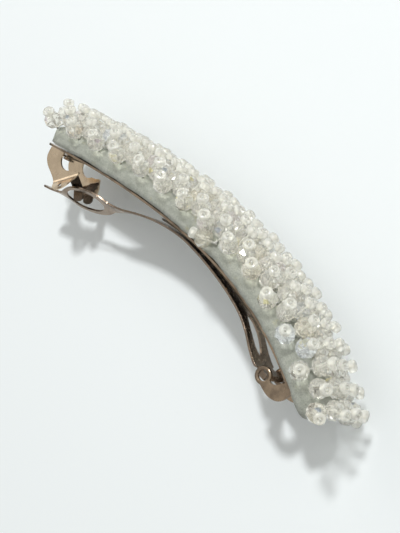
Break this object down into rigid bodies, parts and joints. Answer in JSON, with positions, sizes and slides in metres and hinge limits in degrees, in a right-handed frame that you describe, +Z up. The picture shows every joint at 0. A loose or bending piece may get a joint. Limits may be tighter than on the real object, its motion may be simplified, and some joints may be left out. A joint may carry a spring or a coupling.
{
  "type": "hair clip",
  "caption": "Barrette hair clip with a sprung closing arm, a squeeze clasp and a felt pad covered in sewn crystal bead stems.",
  "frame": {"origin": "centre of the footprint, on the surface that the clip lies on when it lies on its side", "axes": "+X along the bar from the clasp to the hinge, +Y towards the beaded convex side, +Z up across the bar's width"},
  "size_m": [0.0992, 0.0294, 0.0234],
  "materials": {
    "bar_bronze": "polished antique rose bronze plating",
    "jaw_bronze": "polished antique rose bronze plating",
    "arm_bronze": "polished antique rose bronze plating",
    "spring_bronze": "satin bronze plating on spring steel",
    "felt": "grey-green wool felt, mottled",
    "wadding": "white wadding",
    "crystal": "clear faceted glass with a faint iridescent coating"
  },
  "bodies": {
    "clip_frame": {"base_bar": "bar_bronze", "clasp_saddle": "bar_bronze", "clasp_rivet": "bar_bronze", "backing_felt": "felt", "wadding_core": "wadding", "felt_cover": "felt", "bead_row_01": "crystal", "bead_row_02": "crystal", "bead_row_03": "crystal", "bead_row_04": "crystal", "bead_row_05": "crystal", "bead_row_06": "crystal", "bead_row_07": "crystal", "bead_row_08": "crystal", "bead_row_09": "crystal", "bead_row_10": "crystal", "bead_row_11": "crystal", "bead_row_12": "crystal", "bead_row_13": "crystal", "bead_row_14": "crystal", "bead_row_15": "crystal", "bead_row_16": "crystal", "bead_row_17": "crystal", "bead_row_18": "crystal", "bead_row_19": "crystal", "bead_row_20": "crystal", "bead_row_21": "crystal", "bead_row_22": "crystal", "bead_row_23": "crystal", "bead_row_24": "crystal", "bead_row_25": "crystal", "bead_row_26": "crystal", "bead_row_27": "crystal"},
    "near_jaw": {"near_jaw": "jaw_bronze"},
    "far_jaw": {"far_jaw": "jaw_bronze"},
    "closing_arm": {"closing_arm": "arm_bronze"},
    "tension_spring": {"tension_spring": "spring_bronze"}
  },
  "joints": [
    {"name": "arm_hinge", "type": "hinge", "parent": "clip_frame", "child": "closing_arm", "pos_m": [0.03068, -0.00546, 0.01216], "axis": [0, 0, 1], "range_deg": [0, 60]},
    {"name": "spring_flex", "type": "hinge", "parent": "clip_frame", "child": "tension_spring", "pos_m": [0.02858, -0.00156, 0.01216], "axis": [0, 0, 1], "range_deg": [0, 8]},
    {"name": "near_jaw_squeeze", "type": "hinge", "parent": "clip_frame", "child": "near_jaw", "pos_m": [-0.04316, -0.005, 0.01594], "axis": [0.9663, 0.2573, 0], "range_deg": [0, 4], "stiffness_Nm_per_rad": 0.05},
    {"name": "far_jaw_squeeze", "type": "hinge", "parent": "clip_frame", "child": "far_jaw", "pos_m": [-0.04316, -0.005, 0.00839], "axis": [0.9663, 0.2573, 0], "range_deg": [-4, 0], "stiffness_Nm_per_rad": 0.05}
  ],
  "couplings": [
    {"joint": "spring_flex", "follows": "arm_hinge", "ratio": 0.1},
    {"joint": "far_jaw_squeeze", "follows": "near_jaw_squeeze", "ratio": -1}
  ]
}
